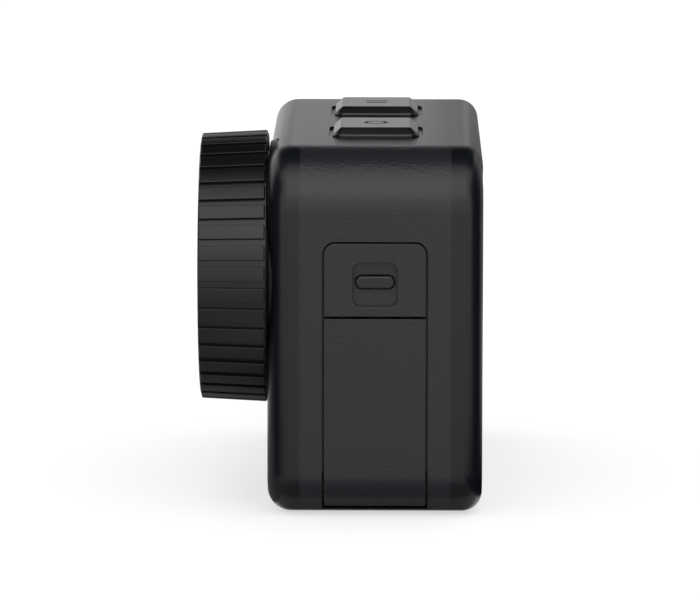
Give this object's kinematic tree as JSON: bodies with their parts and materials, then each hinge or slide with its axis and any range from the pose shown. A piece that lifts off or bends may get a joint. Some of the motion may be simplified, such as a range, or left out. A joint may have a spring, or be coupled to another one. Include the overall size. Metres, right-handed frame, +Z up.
{
  "type": "action camera",
  "caption": "Small black action camera with a ribbed twist-off lens ring, top buttons, a screen front and rear, and a hinged, latched battery door on its side.",
  "frame": {"origin": "bottom centre of the whole camera, lens ring included, on the plane it stands on", "axes": "+Z up; the lens looks along -Y; the battery door faces +X and the port cover faces -X"},
  "size_m": [0.071, 0.0394, 0.0523],
  "materials": {
    "textured_plastic": "fine leather-like grain, satin borders",
    "satin_plastic": "satin",
    "ring_plastic": "satin",
    "black_aluminium": "black anodised",
    "clear_glass": "polished",
    "coated_glass": "polished, coated",
    "screen_glass": "polished, black behind",
    "rubber": "matte",
    "steel": "plain",
    "brass": "plain",
    "aluminium": "plain sheet",
    "circuit_board": "solder mask",
    "chip_black": "moulded",
    "battery_wrap": "satin",
    "light_lens": "clear moulded"
  },
  "bodies": {
    "camera_body": {"housing": "textured_plastic", "door_hinge_pin": "steel", "battery": "battery_wrap", "battery_contacts": "brass", "battery_bay": "satin_plastic", "port_cover_pin": "steel", "charging_socket": "steel", "port_board": "circuit_board", "card_cage": "steel", "memory_card": "chip_black", "shutter_switch": "steel", "mode_switch": "steel", "button_membrane": "rubber", "button_board": "circuit_board", "front_glass": "screen_glass", "front_screen": "chip_black", "front_microphone": "steel", "status_light": "light_lens", "rear_glass": "screen_glass", "rear_frame": "satin_plastic", "rear_screen": "chip_black", "main_board": "circuit_board", "heat_spreader": "aluminium", "speaker": "chip_black", "tripod_insert": "steel", "mount_screw_1": "steel", "mount_screw_2": "steel", "mount_screw_3": "steel", "mount_screw_4": "steel", "lens_mount": "black_aluminium", "mount_seal": "rubber", "front_element": "coated_glass", "element_keeper": "black_aluminium", "second_element": "clear_glass", "third_element": "clear_glass", "lens_barrel": "black_aluminium", "rear_element": "clear_glass", "lens_hood": "satin_plastic", "image_sensor": "chip_black", "sensor_board": "circuit_board"},
    "lens_ring_set": {"lens_ring": "ring_plastic", "glass_seal": "rubber", "cover_glass": "clear_glass", "glass_retainer": "black_aluminium"},
    "battery_door_set": {"battery_door": "textured_plastic", "latch_panel": "textured_plastic", "door_frame": "satin_plastic", "door_seal": "rubber", "latch_spring": "steel"},
    "latch_set": {"latch_bar": "satin_plastic", "latch_slide": "steel"},
    "shutter_button_set": {"shutter_button": "satin_plastic"},
    "mode_button_set": {"mode_button": "satin_plastic"},
    "port_cover_set": {"port_cover": "textured_plastic", "port_cover_plug": "rubber"}
  },
  "joints": [
    {"name": "lens_ring_twist", "type": "hinge", "parent": "camera_body", "child": "lens_ring_set", "pos_m": [0.01635, -0.015, 0.03245], "axis": [0, -1, 0], "range_deg": [0, 60]},
    {"name": "battery_door_swing", "type": "hinge", "parent": "camera_body", "child": "battery_door_set", "pos_m": [0.03264, 0.0048, 0.00198], "axis": [0, 1, 0], "range_deg": [0, 90]},
    {"name": "latch_slide_down", "type": "slide", "parent": "battery_door_set", "child": "latch_set", "axis": [0, 0, -1], "range_m": [0, 0.0007], "stiffness_N_per_m": 400, "springref_m": -0.0005, "deforming": ["latch_spring"]},
    {"name": "shutter_button_press", "type": "slide", "parent": "camera_body", "child": "shutter_button_set", "axis": [0, 0, -1], "range_m": [0, 0.00045], "stiffness_N_per_m": 2000, "springref_m": -0.0002},
    {"name": "mode_button_press", "type": "slide", "parent": "camera_body", "child": "mode_button_set", "axis": [0, 0, -1], "range_m": [0, 0.00045], "stiffness_N_per_m": 2000, "springref_m": -0.0002},
    {"name": "port_cover_swing", "type": "hinge", "parent": "camera_body", "child": "port_cover_set", "pos_m": [-0.0346, 0.0048, 0.0099], "axis": [0, -1, 0], "range_deg": [0, 90]}
  ]
}
